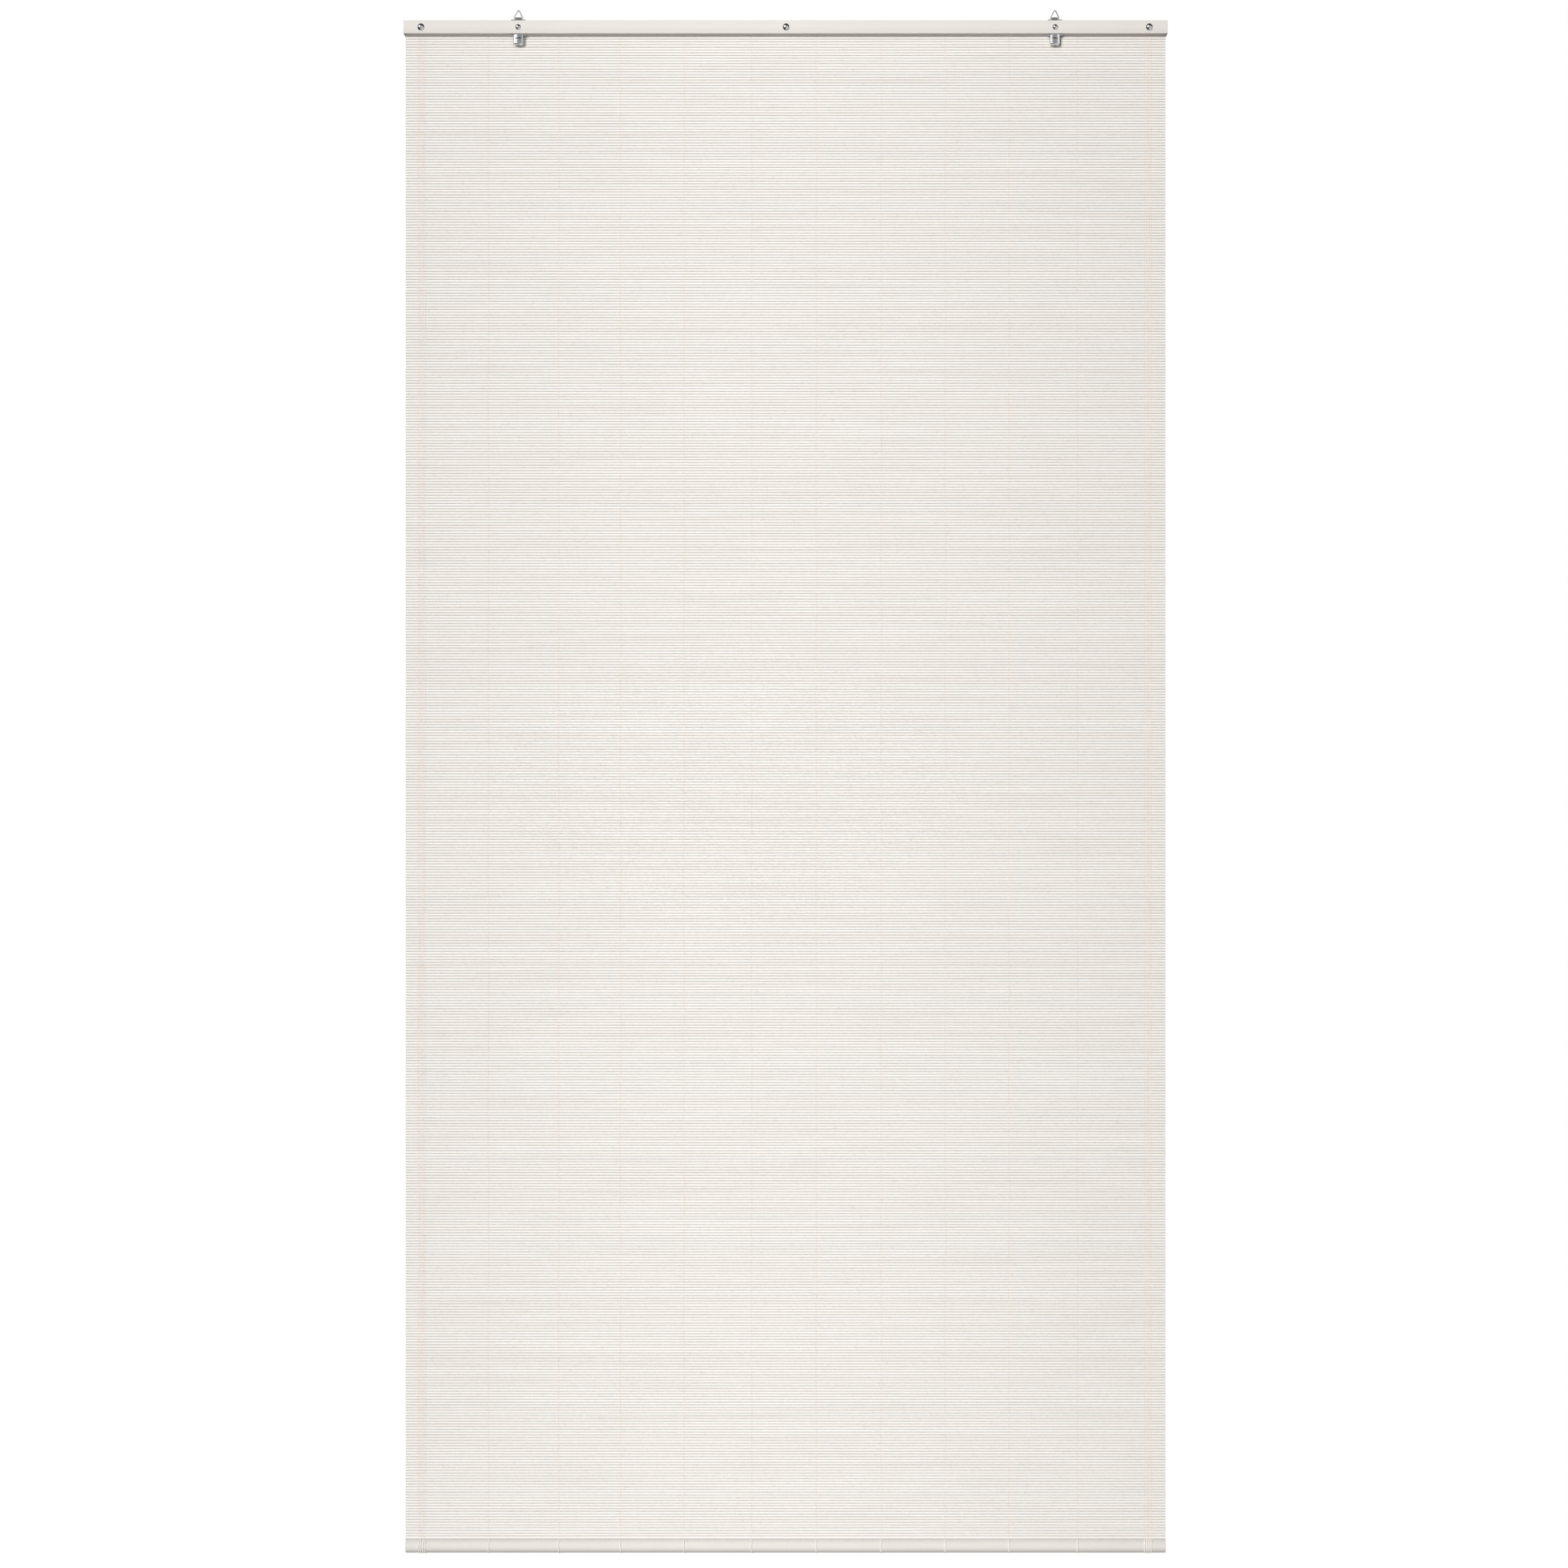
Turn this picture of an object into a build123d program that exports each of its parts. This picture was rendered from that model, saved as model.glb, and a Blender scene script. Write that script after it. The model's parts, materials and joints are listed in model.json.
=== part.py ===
from build123d import *
import math
import os

# Painted bamboo roll-up blind, hanging at its full length. Sizes are in millimetres.
# The origin is the middle of the line on which the two rings hang, just inside their tops.
# +X is to the right seen from the room, +Y is towards the window and +Z is up.

# Headrail: a front batten with a crowned face and a rear batten, which clamp the top of the mat
headrail_width = 1100.0
headrail_height = 19.0
front_batten_thickness = 12.0
front_batten_crown = 1.2
rear_batten_thickness = 5.0
batten_edge_radius = 0.8

# Mat: slats side by side, woven into one flexible wall
mat_inset = 1.3
mat_drop = 1.0
slat_pitch = 3.944
visible_slats = 550
clamped_slats = 4
slat_thickness = 2.0
groove_depth = 0.55

# Bottom batten: half round, with its flat side behind and as wide as the mat
bottom_batten_height = 19.2
bottom_batten_thickness = 8.0
bottom_batten_crown = 5.2
bottom_batten_edge_radius = 0.8

# Warp yarns: a group near each end and single pairs between, each a little off an even spacing
edge_group_insets = [23.8, 25.5]
edge_group_spacing = 3.15
edge_group_count = 4
single_yarn_shifts = [0.8, 7.0, 0.8, -2.7, -0.5, -2.5, -4.0, -6.9, -10.2, -6.9]
yarn_width = 0.8
yarn_thickness = 0.3

# Cords that tie on the bottom batten, bent round its face at a few evenly turned corners
loop_width = 1.9
loop_thickness = 1.1
loop_face_bends = 4
soft_clearance = 0.05

# Dome-headed bolts through both battens and the mat, with hexagon nuts behind
clamp_bolt_insets = [25.0, 26.5]
centre_bolt_place = 0.7
clamp_head_diameter = 10.0
clamp_head_height = 3.4
clamp_shank_diameter = 4.0
clamp_nut_width = 7.0
bracket_head_diameter = 8.0
bracket_head_height = 3.0
bracket_shank_diameter = 3.0
bracket_nut_width = 5.5
head_rim_height = 0.7
nut_thickness = 2.4
shank_beyond_nut = 1.0
bolt_hole_clearance = 0.15
thread_clearance = 0.05
bolt_drop = 0.5

# Hanger bracket: one steel strip folded round the front batten, with a rolled keeper for the ring
fitting_insets = [165.0, 162.0]
bracket_width = 20.4
bracket_sheet = 1.0
bracket_recess_clearance = 0.2
keeper_width = 8.0
keeper_base_width = 12.4
keeper_flare_height = 1.3
keeper_sheet = 1.0
keeper_axis_height = 3.6
keeper_open_angle = 55.0

# Triangular wire ring, with its sizes along the middle of the wire
ring_wire_diameter = 1.5
ring_base_width = 12.6
ring_top_width = 1.4
ring_height = 11.25
ring_running_clearance = 0.08

# Pulley case: a pressed steel cup, open at the back and at the top, on two riveted ears
case_width = 14.3
case_depth = 8.0
case_height = 14.4
case_sheet = 0.8
case_setback = 1.5
case_corner_radius = 2.3
panel_width = 8.5
panel_height = 7.2
panel_rise = 0.35
panel_taper = 45
panel_above_bottom = 1.0
slot_width = 8.6
slot_height = 1.3
slot_above_panel = 0.3
slot_arch = 0.5
cord_notch_width = 3.6
cord_notch_depth = 4.2
ear_reach = 3.2
ear_depth = 5.6
rivet_from_ear_end = 1.7
rivet_diameter = 2.2
rivet_rise = 0.7
rivet_clearance = 0.03

# Pulley wheel and its riveted axle
wheel_rim_diameter = 6.0
wheel_rim_width = 1.6
wheel_groove_diameter = 4.0
wheel_side_clearance = 0.3
wheel_front_clearance = 0.6
wheel_drop = 7.2
axle_diameter = 1.6
axle_end_rise = 0.4
axle_running_clearance = 0.06

# Widths, counted from the middle of the blind
mat_width = headrail_width - 2 * mat_inset
clamp_bolt_places = [clamp_bolt_insets[0] - headrail_width / 2, centre_bolt_place]
clamp_bolt_places.append(headrail_width / 2 - clamp_bolt_insets[1])
left_fitting_place = fitting_insets[0] - headrail_width / 2
right_fitting_place = headrail_width / 2 - fitting_insets[1]
fitting_places = [("left", left_fitting_place), ("right", right_fitting_place)]

# Heights, counted from the line on which the rings hang
ring_wire_radius = ring_wire_diameter / 2
headrail_top = -(keeper_axis_height + ring_height - ring_wire_radius)
headrail_bottom = headrail_top - headrail_height
keeper_axis_z = headrail_top + keeper_axis_height
bolt_z = (headrail_top + headrail_bottom) / 2 - bolt_drop
mat_top = headrail_bottom + clamped_slats * slat_pitch - mat_drop
mat_bottom = mat_top - (clamped_slats + visible_slats) * slat_pitch
bottom_batten_top = mat_bottom - loop_thickness - 2 * soft_clearance
bottom_batten_middle = bottom_batten_top - bottom_batten_height / 2

# Depths, counted from the plane in which the rings hang
front_face_y = -front_batten_thickness / 2
front_edge_y = front_face_y + front_batten_crown
mat_front_y = front_batten_thickness / 2
mat_middle_y = mat_front_y + slat_thickness / 2
mat_back_y = mat_front_y + slat_thickness
rear_face_y = mat_back_y + rear_batten_thickness


def write_piece(piece, name):
    piece.part.label = name
    export_step(piece.part, f"parts/{name}.step")


# Holes for the bolts, cut through both battens and the mat
with BuildPart() as bolt_holes:
    hole_plane = Plane(origin=(0, front_face_y, bolt_z), x_dir=(1, 0, 0), z_dir=(0, 1, 0))
    with BuildSketch(hole_plane):
        with Locations(*[(x, 0) for x in clamp_bolt_places]):
            Circle(clamp_shank_diameter / 2 + bolt_hole_clearance)
        with Locations(*[(x, 0) for side, x in fitting_places]):
            Circle(bracket_shank_diameter / 2 + bolt_hole_clearance)
    extrude(amount=rear_face_y - front_face_y)


# Headrail battens
def make_front_batten():
    headrail_middle = (headrail_top + headrail_bottom) / 2
    with BuildPart() as batten:
        with BuildSketch(Plane.YZ.offset(-headrail_width / 2)):
            with BuildLine():
                face = ThreePointArc(
                    (front_edge_y, headrail_bottom), (front_face_y, headrail_middle), (front_edge_y, headrail_top)
                )
                Polyline(face @ 1, (mat_front_y, headrail_top), (mat_front_y, headrail_bottom), face @ 0)
            make_face()
        extrude(amount=headrail_width)
        fillet(batten.edges().filter_by(Axis.X), radius=batten_edge_radius)
        with BuildSketch(Plane.XY.offset(headrail_bottom)):
            with Locations(*[(x, mat_front_y - bracket_sheet / 2) for side, x in fitting_places]):
                Rectangle(bracket_width + 2 * bracket_recess_clearance, bracket_sheet)
        extrude(amount=headrail_height, mode=Mode.SUBTRACT)
        add(bolt_holes.part, mode=Mode.SUBTRACT)
    write_piece(batten, "front_batten")


def make_rear_batten():
    with BuildPart() as batten:
        with BuildSketch(Plane.YZ.offset(-headrail_width / 2)):
            with Locations((mat_back_y + rear_batten_thickness / 2, (headrail_top + headrail_bottom) / 2)):
                Rectangle(rear_batten_thickness, headrail_height)
        extrude(amount=headrail_width)
        fillet(batten.edges().filter_by(Axis.X), radius=batten_edge_radius)
        add(bolt_holes.part, mode=Mode.SUBTRACT)
    write_piece(batten, "rear_batten")


# Mat: each slat is a ridge on the front and on the back, between two grooves
def mat_outline():
    front = []
    back = []
    for slat in range(clamped_slats + visible_slats):
        slat_top = mat_top - slat * slat_pitch
        slat_middle = slat_top - slat_pitch / 2
        front += [(mat_front_y + groove_depth, slat_top), (mat_front_y, slat_middle)]
        back += [(mat_back_y - groove_depth, slat_top), (mat_back_y, slat_middle)]
    front.append((mat_front_y + groove_depth, mat_bottom))
    back.append((mat_back_y - groove_depth, mat_bottom))
    return front + back[::-1]


def make_mat():
    with BuildPart() as mat:
        with BuildSketch(Plane.YZ.offset(-mat_width / 2)):
            with BuildLine():
                Polyline(*mat_outline(), close=True)
            make_face()
        extrude(amount=mat_width)
        add(bolt_holes.part, mode=Mode.SUBTRACT)
    write_piece(mat, "mat")


# Bottom batten, and the cords that tie it on
def section_plane(x):
    return Plane(origin=(x, mat_middle_y, bottom_batten_middle), x_dir=(0, 1, 0), z_dir=(1, 0, 0))


def make_bottom_batten():
    half_height = bottom_batten_height / 2
    back = bottom_batten_thickness / 2
    edge = bottom_batten_crown - back
    with BuildPart() as batten:
        with BuildSketch(section_plane(-mat_width / 2)) as section:
            with BuildLine():
                face = ThreePointArc((edge, half_height), (-back, 0), (edge, -half_height))
                Polyline(face @ 1, (back, -half_height), (back, half_height), face @ 0)
            make_face()
            fillet(section.vertices().group_by(Axis.X)[-1], radius=bottom_batten_edge_radius)
        extrude(amount=mat_width)
    write_piece(batten, "bottom_batten")


def loop_outline(growth):
    half_height = bottom_batten_height / 2
    face_radius = (half_height**2 + bottom_batten_crown**2) / (2 * bottom_batten_crown)
    face_centre = face_radius - bottom_batten_thickness / 2
    half_turn = math.asin(half_height / face_radius)
    bend = 2 * half_turn / loop_face_bends
    reach = (face_radius + growth) / math.cos(bend / 2)
    turns = [half_turn - (n + 0.5) * bend for n in range(loop_face_bends)]
    face = [(face_centre - reach * math.cos(turn), reach * math.sin(turn)) for turn in turns]
    top = half_height + growth
    first_y = face_centre - (face_radius + growth - top * math.sin(half_turn)) / math.cos(half_turn)
    back = bottom_batten_thickness / 2 + growth
    return [(first_y, top)] + face + [(first_y, -top), (back, -top), (back, top)]


def batten_loop(x):
    with BuildPart() as loop:
        with BuildSketch(section_plane(x - loop_width / 2)):
            for growth, mode in ((soft_clearance + loop_thickness, Mode.ADD), (soft_clearance, Mode.SUBTRACT)):
                with BuildLine():
                    Polyline(*loop_outline(growth), close=True)
                make_face(mode=mode)
        extrude(amount=loop_width)
    return loop.part


# Warp yarns: one runs down the front of the slats and its partner down the back
def yarn_pair(x):
    with BuildPart() as pair:
        with BuildSketch(Plane.XY.offset(mat_bottom)):
            for y in (mat_front_y - soft_clearance - yarn_thickness, mat_back_y + soft_clearance):
                with Locations((x, y)):
                    Rectangle(yarn_width, yarn_thickness, align=(Align.CENTER, Align.MIN))
        extrude(amount=headrail_bottom - mat_bottom)
    return pair.part


def yarn_places():
    left = edge_group_insets[0] - mat_width / 2
    right = mat_width / 2 - edge_group_insets[1]
    spacing = (right - left) / (len(single_yarn_shifts) + 1)
    places = [[left + n * spacing + shift] for n, shift in enumerate(single_yarn_shifts, start=1)]
    for middle in (left, right):
        first = middle - edge_group_spacing * (edge_group_count - 1) / 2
        places.append([first + n * edge_group_spacing for n in range(edge_group_count)])
    return sorted(places)


def make_yarns_and_loops():
    for number, places in enumerate(yarn_places(), start=1):
        with BuildPart() as yarns:
            for x in places:
                add(yarn_pair(x))
        write_piece(yarns, f"warp_yarn_{number:02d}")
        with BuildPart() as loops:
            for x in places:
                add(batten_loop(x))
        write_piece(loops, f"batten_loop_{number:02d}")


# Bolts and nuts: like ones share a node as separate solids
def make_dome_bolts(name, places, head_diameter, head_height, shank_diameter):
    head_radius = head_diameter / 2
    shank_radius = shank_diameter / 2
    crown = head_height - head_rim_height
    crown_radius = (head_radius**2 + crown**2) / (2 * crown)
    shank_end = rear_face_y - front_face_y + nut_thickness + shank_beyond_nut
    with BuildPart() as bolts:
        for x in places:
            with BuildSketch(Plane(origin=(x, front_face_y, bolt_z), x_dir=(1, 0, 0), z_dir=(0, 0, 1))):
                with BuildLine():
                    rim = Line((head_radius, 0), (head_radius, -head_rim_height))
                    dome = RadiusArc(rim @ 1, (0, -head_height), crown_radius)
                    shank = Polyline(dome @ 1, (0, shank_end), (shank_radius, shank_end), (shank_radius, 0))
                    Line(shank @ 1, rim @ 0)
                make_face()
            revolve(axis=Axis((x, front_face_y, bolt_z), (0, 1, 0)))
    write_piece(bolts, name)


def make_nuts(name, places, width, shank_diameter):
    with BuildPart() as nuts:
        with BuildSketch(Plane(origin=(0, rear_face_y, bolt_z), x_dir=(1, 0, 0), z_dir=(0, 1, 0))):
            with Locations(*[(x, 0) for x in places]):
                RegularPolygon(width / 2, 6, major_radius=False)
                Circle(shank_diameter / 2 + thread_clearance, mode=Mode.SUBTRACT)
        extrude(amount=nut_thickness)
    write_piece(nuts, name)


def make_fasteners():
    bracket_bolt_places = [left_fitting_place, right_fitting_place]
    make_dome_bolts(
        "clamp_bolts", clamp_bolt_places, clamp_head_diameter, clamp_head_height, clamp_shank_diameter
    )
    make_nuts("clamp_nuts", clamp_bolt_places, clamp_nut_width, clamp_shank_diameter)
    make_dome_bolts(
        "bracket_bolts", bracket_bolt_places, bracket_head_diameter, bracket_head_height, bracket_shank_diameter
    )
    make_nuts("bracket_nuts", bracket_bolt_places, bracket_nut_width, bracket_shank_diameter)
    make_case_rivets()


# Hanger bracket
def keeper_radii():
    inner = ring_wire_radius + ring_running_clearance
    return inner, inner + keeper_sheet


def make_hanger_bracket(side, x):
    strip_top = headrail_top + bracket_sheet
    strip_bottom = headrail_bottom - bracket_sheet
    strip_inner_y = mat_front_y - bracket_sheet
    keeper_inner, keeper_outer = keeper_radii()
    with BuildPart() as bracket:
        with BuildSketch(Plane.YZ.offset(x - bracket_width / 2)) as strip:
            with BuildLine():
                Polyline(
                    (front_edge_y, strip_top),
                    (mat_front_y, strip_top),
                    (mat_front_y, strip_bottom),
                    (front_edge_y, strip_bottom),
                    (front_edge_y, headrail_bottom),
                    (strip_inner_y, headrail_bottom),
                    (strip_inner_y, headrail_top),
                    (front_edge_y, headrail_top),
                    close=True,
                )
            make_face()
            fillet(strip.vertices().group_by(Axis.X)[-1], radius=bracket_sheet)
        extrude(amount=bracket_width)
        with BuildSketch(Plane.YZ.offset(x - keeper_width / 2)):
            with Locations((0, keeper_axis_z)):
                Circle(keeper_outer)
            with BuildLine():
                gap = PolarLine((0, keeper_axis_z), 2 * keeper_outer, -90 - keeper_open_angle)
                Polyline(gap @ 1, (0, keeper_axis_z - 2 * keeper_outer), (0, keeper_axis_z))
            make_face(mode=Mode.SUBTRACT)
            with Locations((0, keeper_axis_z)):
                Circle(keeper_inner, mode=Mode.SUBTRACT)
            with Locations((keeper_inner, strip_top)):
                Rectangle(keeper_sheet, keeper_axis_z - strip_top, align=Align.MIN)
        extrude(amount=keeper_width)
        foot_plane = Plane(origin=(x, keeper_outer, strip_top), x_dir=(1, 0, 0), z_dir=(0, -1, 0))
        with BuildSketch(foot_plane):
            with BuildLine():
                Polyline(
                    (-keeper_base_width / 2, 0),
                    (keeper_base_width / 2, 0),
                    (keeper_width / 2, keeper_flare_height),
                    (-keeper_width / 2, keeper_flare_height),
                    close=True,
                )
            make_face()
        extrude(amount=keeper_sheet)
        hole_plane = Plane(origin=(x, mat_front_y, bolt_z), x_dir=(1, 0, 0), z_dir=(0, -1, 0))
        with BuildSketch(hole_plane):
            Circle(bracket_shank_diameter / 2 + bolt_hole_clearance)
        extrude(amount=bracket_sheet, mode=Mode.SUBTRACT)
        with BuildSketch(Plane.XY.offset(strip_bottom)):
            with Locations(*rivet_places(x)):
                Circle(rivet_diameter / 2 + rivet_clearance)
        extrude(amount=bracket_sheet, mode=Mode.SUBTRACT)
    write_piece(bracket, f"hanger_bracket_{side}")


# Ring, standing in the keeper with its bottom bar as the hinge pin
def make_ring(side, x):
    with BuildPart() as ring:
        with BuildLine(Plane(origin=(x, 0, keeper_axis_z), x_dir=(1, 0, 0), z_dir=(0, -1, 0))) as path:
            Polyline(
                (0, 0),
                (ring_base_width / 2, 0),
                (ring_top_width / 2, ring_height),
                (-ring_top_width / 2, ring_height),
                (-ring_base_width / 2, 0),
                (0, 0),
            )
        with BuildSketch(Plane(origin=(x, 0, keeper_axis_z), x_dir=(0, 1, 0), z_dir=(1, 0, 0))):
            Circle(ring_wire_radius)
        sweep(path=path.wires()[0], transition=Transition.RIGHT)
    write_piece(ring, f"hanging_ring_{side}")


# Pulley case
case_top = headrail_bottom - bracket_sheet
case_bottom = case_top - case_height
case_front_y = front_face_y + case_setback
case_back_y = case_front_y + case_depth
case_middle_y = (case_front_y + case_back_y) / 2
wheel_z = headrail_bottom - wheel_drop
wheel_y = case_front_y + case_sheet + wheel_front_clearance + wheel_rim_diameter / 2


def rivet_places(x):
    reach = case_width / 2 + ear_reach - rivet_from_ear_end
    return [(x - reach, case_middle_y), (x + reach, case_middle_y)]


def make_pulley_case(side, x):
    with BuildPart() as case:
        with BuildSketch(Plane.XY.offset(case_top)):
            with Locations((x, case_middle_y)):
                Rectangle(case_width, case_depth)
        extrude(amount=-case_height)
        fillet(case.faces().sort_by(Axis.Z)[0].edges().filter_by(Axis.Y), radius=case_corner_radius)
        opened = [case.faces().sort_by(Axis.Y)[-1], case.faces().sort_by(Axis.Z)[-1]]
        offset(amount=-case_sheet, openings=opened)
        with BuildSketch(Plane.XY.offset(case_top)):
            with Locations((x, case_middle_y)):
                Rectangle(case_width + 2 * ear_reach, ear_depth)
                Rectangle(case_width - 2 * case_sheet, case_depth, mode=Mode.SUBTRACT)
            with Locations(*rivet_places(x)):
                Circle(rivet_diameter / 2 + rivet_clearance, mode=Mode.SUBTRACT)
        extrude(amount=-case_sheet)
        face_plane = Plane(origin=(x, case_front_y, case_bottom), x_dir=(1, 0, 0), z_dir=(0, -1, 0))
        with BuildSketch(face_plane):
            with Locations((0, panel_above_bottom + panel_height / 2)):
                Rectangle(panel_width, panel_height)
        extrude(amount=panel_rise, taper=panel_taper)
        slot_bottom = panel_above_bottom + panel_height + slot_above_panel
        with BuildSketch(face_plane):
            with BuildLine():
                sill = Line((-slot_width / 2, slot_bottom), (slot_width / 2, slot_bottom))
                jamb = Line(sill @ 1, (slot_width / 2, slot_bottom + slot_height - slot_arch))
                arch = ThreePointArc(
                    jamb @ 1, (0, slot_bottom + slot_height), (-slot_width / 2, slot_bottom + slot_height - slot_arch)
                )
                Line(arch @ 1, sill @ 0)
            make_face()
        extrude(amount=-case_sheet, mode=Mode.SUBTRACT)
        with BuildSketch(Plane.XY.offset(case_bottom)):
            with Locations((x, case_back_y)):
                SlotCenterPoint((0, 0), (0, cord_notch_width / 2 - cord_notch_depth), cord_notch_width)
        extrude(amount=case_sheet, mode=Mode.SUBTRACT)
        side_plane = Plane(origin=(x, wheel_y, wheel_z), x_dir=(0, 1, 0), z_dir=(1, 0, 0))
        with BuildSketch(side_plane):
            Circle(axle_diameter / 2 + rivet_clearance)
        extrude(amount=case_width, both=True, mode=Mode.SUBTRACT)
    write_piece(case, f"pulley_case_{side}")


def make_case_rivets():
    places = [place for side, x in fitting_places for place in rivet_places(x)]
    with BuildPart() as rivets:
        with BuildSketch(Plane.XY.offset(headrail_bottom)):
            with Locations(*places):
                Circle(rivet_diameter / 2)
        extrude(amount=-bracket_sheet - case_sheet - rivet_rise)
    write_piece(rivets, "case_rivets")


# Pulley wheel: a roller with a rim at each end, and its axle
def make_pulley_wheel(side, x):
    half_width = case_width / 2 - case_sheet - wheel_side_clearance
    half_groove = half_width - wheel_rim_width
    bore_radius = axle_diameter / 2 + axle_running_clearance
    with BuildPart() as wheel:
        with BuildSketch(Plane(origin=(x, wheel_y, wheel_z), x_dir=(1, 0, 0), z_dir=(0, -1, 0))):
            with BuildLine():
                Polyline(
                    (-half_width, bore_radius),
                    (half_width, bore_radius),
                    (half_width, wheel_rim_diameter / 2),
                    (half_groove, wheel_rim_diameter / 2),
                    (half_groove, wheel_groove_diameter / 2),
                    (-half_groove, wheel_groove_diameter / 2),
                    (-half_groove, wheel_rim_diameter / 2),
                    (-half_width, wheel_rim_diameter / 2),
                    close=True,
                )
            make_face()
        revolve(axis=Axis((x, wheel_y, wheel_z), (1, 0, 0)))
    write_piece(wheel, f"pulley_wheel_{side}")


def make_pulley_axle(side, x):
    half_length = case_width / 2 + axle_end_rise
    with BuildPart() as axle:
        with BuildSketch(Plane(origin=(x - half_length, wheel_y, wheel_z), x_dir=(0, 1, 0), z_dir=(1, 0, 0))):
            Circle(axle_diameter / 2)
        extrude(amount=2 * half_length)
    write_piece(axle, f"pulley_axle_{side}")


def make_fittings():
    for side, x in fitting_places:
        make_hanger_bracket(side, x)
        make_ring(side, x)
        make_pulley_case(side, x)
        make_pulley_wheel(side, x)
        make_pulley_axle(side, x)


os.makedirs("parts", exist_ok=True)
make_front_batten()
make_rear_batten()
make_mat()
make_bottom_batten()
make_yarns_and_loops()
make_fasteners()
make_fittings()
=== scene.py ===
import json
import math

import bpy
import numpy as np
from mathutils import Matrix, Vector


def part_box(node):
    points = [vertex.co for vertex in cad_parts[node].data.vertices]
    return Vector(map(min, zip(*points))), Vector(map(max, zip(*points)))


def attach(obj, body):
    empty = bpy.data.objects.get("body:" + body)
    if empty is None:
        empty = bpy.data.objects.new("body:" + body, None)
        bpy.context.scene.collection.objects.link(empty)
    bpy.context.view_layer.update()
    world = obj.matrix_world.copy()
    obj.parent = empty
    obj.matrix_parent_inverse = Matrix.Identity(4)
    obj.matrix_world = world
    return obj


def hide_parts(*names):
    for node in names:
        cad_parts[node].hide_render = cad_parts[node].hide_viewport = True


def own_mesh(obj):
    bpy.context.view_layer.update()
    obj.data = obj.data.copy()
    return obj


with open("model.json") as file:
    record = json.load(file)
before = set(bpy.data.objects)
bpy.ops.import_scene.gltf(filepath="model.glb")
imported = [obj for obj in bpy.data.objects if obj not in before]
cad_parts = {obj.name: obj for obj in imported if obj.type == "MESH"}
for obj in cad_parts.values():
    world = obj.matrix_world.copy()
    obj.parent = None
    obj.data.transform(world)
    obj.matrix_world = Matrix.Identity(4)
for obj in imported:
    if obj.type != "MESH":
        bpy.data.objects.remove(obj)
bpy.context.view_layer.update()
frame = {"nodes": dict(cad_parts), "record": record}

MM = 0.001
rng = np.random.default_rng(7)

# Places read from the frame
RAIL_LOW, RAIL_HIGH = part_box("front_batten")
MAT_LOW, MAT_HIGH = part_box("mat")
BATTEN_LOW, BATTEN_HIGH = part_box("bottom_batten")
SIDES = ("left", "right")
YARN_COUNT = 12
SINGLE_YARNS = range(2, YARN_COUNT)

# The mat, counted from its top edge inside the headrail
SLAT_COUNT = 554
CLAMPED_SLATS = 4
PITCH = (MAT_HIGH.z - MAT_LOW.z) / SLAT_COUNT
MAT_MIDDLE_Y = (MAT_LOW.y + MAT_HIGH.y) / 2
MAT_HALF_DEPTH = (MAT_HIGH.y - MAT_LOW.y) / 2
MAT_HALF_WIDTH = (MAT_HIGH.x - MAT_LOW.x) / 2
MAT_MIDDLE_X = (MAT_LOW.x + MAT_HIGH.x) / 2
BAND_COUNT = 4

# The photograph's camera
CAMERA_PLACE = (-0.0023, -3.66, -1.1135)
CAMERA_LENS = 58.3
SENSOR_WIDTH = 36.0

# Light: a soft sun from the front, one from behind, a strip in front and an even ambient
KEY_LEFT = math.radians(20)
KEY_ABOVE = math.radians(8)
KEY_LEVEL = 2.6
KEY_SOFTNESS = math.radians(18)
KEY_COLOUR = (1.0, 0.985, 0.965)
BACK_LEFT = math.radians(15)
BACK_ABOVE = math.radians(42)
BACK_LEVEL = 2.8
BACK_SOFTNESS = math.radians(12)
STRIP_PLACE = (-0.08, -1.0)
STRIP_WIDTH = 0.3
STRIP_HEIGHT = 5.2
STRIP_WATTS = 8.85
AMBIENT = 0.1
AMBIENT_COLOUR = (0.96, 0.98, 1.0)

# Soft boxes that shiny metal mirrors: azimuth, elevation, inner and outer radius in degrees, and level
STUDIO_DARKNESS = 0.035
STUDIO_LAMPS = [(-42, 23, 20, 33, 1.4), (35, 21, 7, 17, 1.0), (4, 8, 8, 45, 0.3), (60, -42, 15, 75, 0.6)]

# The floor ends close behind the blind, so that the photograph's camera doesn't see it
FLOOR_DROP = 1.4
FLOOR_BACK = 0.55
FLOOR_SIZE = 30.0


# Camera, light and floor
def make_camera():
    data = bpy.data.cameras.new("camera")
    data.lens = CAMERA_LENS
    data.sensor_width = SENSOR_WIDTH
    data.clip_start = 0.01
    camera = bpy.data.objects.new("camera", data)
    camera.location = CAMERA_PLACE
    camera.rotation_euler = (math.pi / 2, 0, 0)
    bpy.context.scene.collection.objects.link(camera)
    bpy.context.scene.camera = camera


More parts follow.
